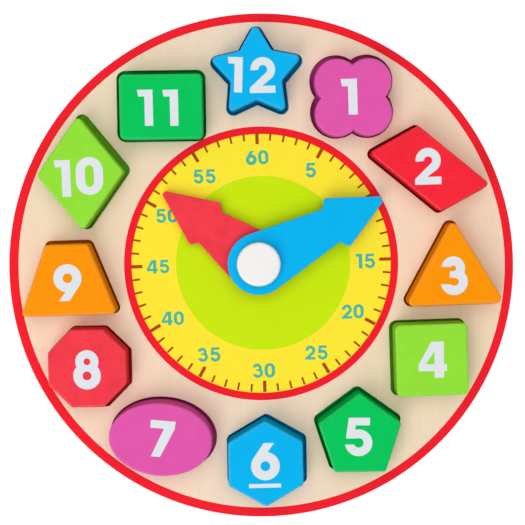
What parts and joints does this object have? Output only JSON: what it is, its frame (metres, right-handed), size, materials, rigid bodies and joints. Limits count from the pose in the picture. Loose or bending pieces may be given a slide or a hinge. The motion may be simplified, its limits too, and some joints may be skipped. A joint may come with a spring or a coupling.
{
  "type": "shape sorting clock",
  "caption": "Round wooden clock puzzle board with turning hour and minute hands and lift-out shape blocks carrying the hour numbers.",
  "frame": {"origin": "centre of the backing board's underside; the clock lies on its back", "axes": "+Z out of the dial along the pivot bolt, +Y from the middle towards the 12, +X towards the 3"},
  "size_m": [0.22, 0.22, 0.0232],
  "materials": {
    "bare_wood": "sanded plywood under clear lacquer",
    "pink_paint": "satin pink paint on wood",
    "red_paint": "satin red paint on wood",
    "orange_paint": "satin orange paint on wood",
    "light_green_paint": "satin light green paint on wood",
    "green_paint": "satin green paint on wood",
    "blue_paint": "satin blue paint on wood",
    "nylon": "natural nylon",
    "steel": "zinc-plated",
    "cap_plastic": "smooth white moulding"
  },
  "bodies": {
    "base": {"backing_board": "bare_wood", "face_board": "bare_wood", "pivot_bolt": "steel", "dial_washer": "nylon", "hand_washer": "nylon", "nut_washer": "steel", "lock_nut": "steel", "centre_cap": "cap_plastic"},
    "hour_hand": {"hour_hand": "red_paint"},
    "minute_hand": {"minute_hand": "blue_paint"},
    "block_1": {"block_1_quatrefoil": "pink_paint"},
    "block_2": {"block_2_parallelogram": "red_paint"},
    "block_3": {"block_3_triangle": "orange_paint"},
    "block_4": {"block_4_square": "light_green_paint"},
    "block_5": {"block_5_pentagon": "green_paint"},
    "block_6": {"block_6_hexagon": "blue_paint"},
    "block_7": {"block_7_oval": "pink_paint"},
    "block_8": {"block_8_octagon": "red_paint"},
    "block_9": {"block_9_trapezoid": "orange_paint"},
    "block_10": {"block_10_rhombus": "light_green_paint"},
    "block_11": {"block_11_rectangle": "green_paint"},
    "block_12": {"block_12_star": "blue_paint"}
  },
  "joints": [
    {"name": "hour_hand_turn", "type": "hinge", "parent": "base", "child": "hour_hand", "pos_m": [-0.001, 0.002, 0.0122], "axis": [0, 0, 1], "continuous": true},
    {"name": "minute_hand_turn", "type": "hinge", "parent": "base", "child": "minute_hand", "pos_m": [-0.001, 0.002, 0.0164], "axis": [0, 0, 1], "continuous": true},
    {"name": "block_1_lift", "type": "slide", "parent": "base", "child": "block_1", "axis": [0, 0, 1], "range_m": [0, 0.025]},
    {"name": "block_2_lift", "type": "slide", "parent": "base", "child": "block_2", "axis": [0, 0, 1], "range_m": [0, 0.025]},
    {"name": "block_3_lift", "type": "slide", "parent": "base", "child": "block_3", "axis": [0, 0, 1], "range_m": [0, 0.025]},
    {"name": "block_4_lift", "type": "slide", "parent": "base", "child": "block_4", "axis": [0, 0, 1], "range_m": [0, 0.025]},
    {"name": "block_5_lift", "type": "slide", "parent": "base", "child": "block_5", "axis": [0, 0, 1], "range_m": [0, 0.025]},
    {"name": "block_6_lift", "type": "slide", "parent": "base", "child": "block_6", "axis": [0, 0, 1], "range_m": [0, 0.025]},
    {"name": "block_7_lift", "type": "slide", "parent": "base", "child": "block_7", "axis": [0, 0, 1], "range_m": [0, 0.025]},
    {"name": "block_8_lift", "type": "slide", "parent": "base", "child": "block_8", "axis": [0, 0, 1], "range_m": [0, 0.025]},
    {"name": "block_9_lift", "type": "slide", "parent": "base", "child": "block_9", "axis": [0, 0, 1], "range_m": [0, 0.025]},
    {"name": "block_10_lift", "type": "slide", "parent": "base", "child": "block_10", "axis": [0, 0, 1], "range_m": [0, 0.025]},
    {"name": "block_11_lift", "type": "slide", "parent": "base", "child": "block_11", "axis": [0, 0, 1], "range_m": [0, 0.025]},
    {"name": "block_12_lift", "type": "slide", "parent": "base", "child": "block_12", "axis": [0, 0, 1], "range_m": [0, 0.025]}
  ]
}
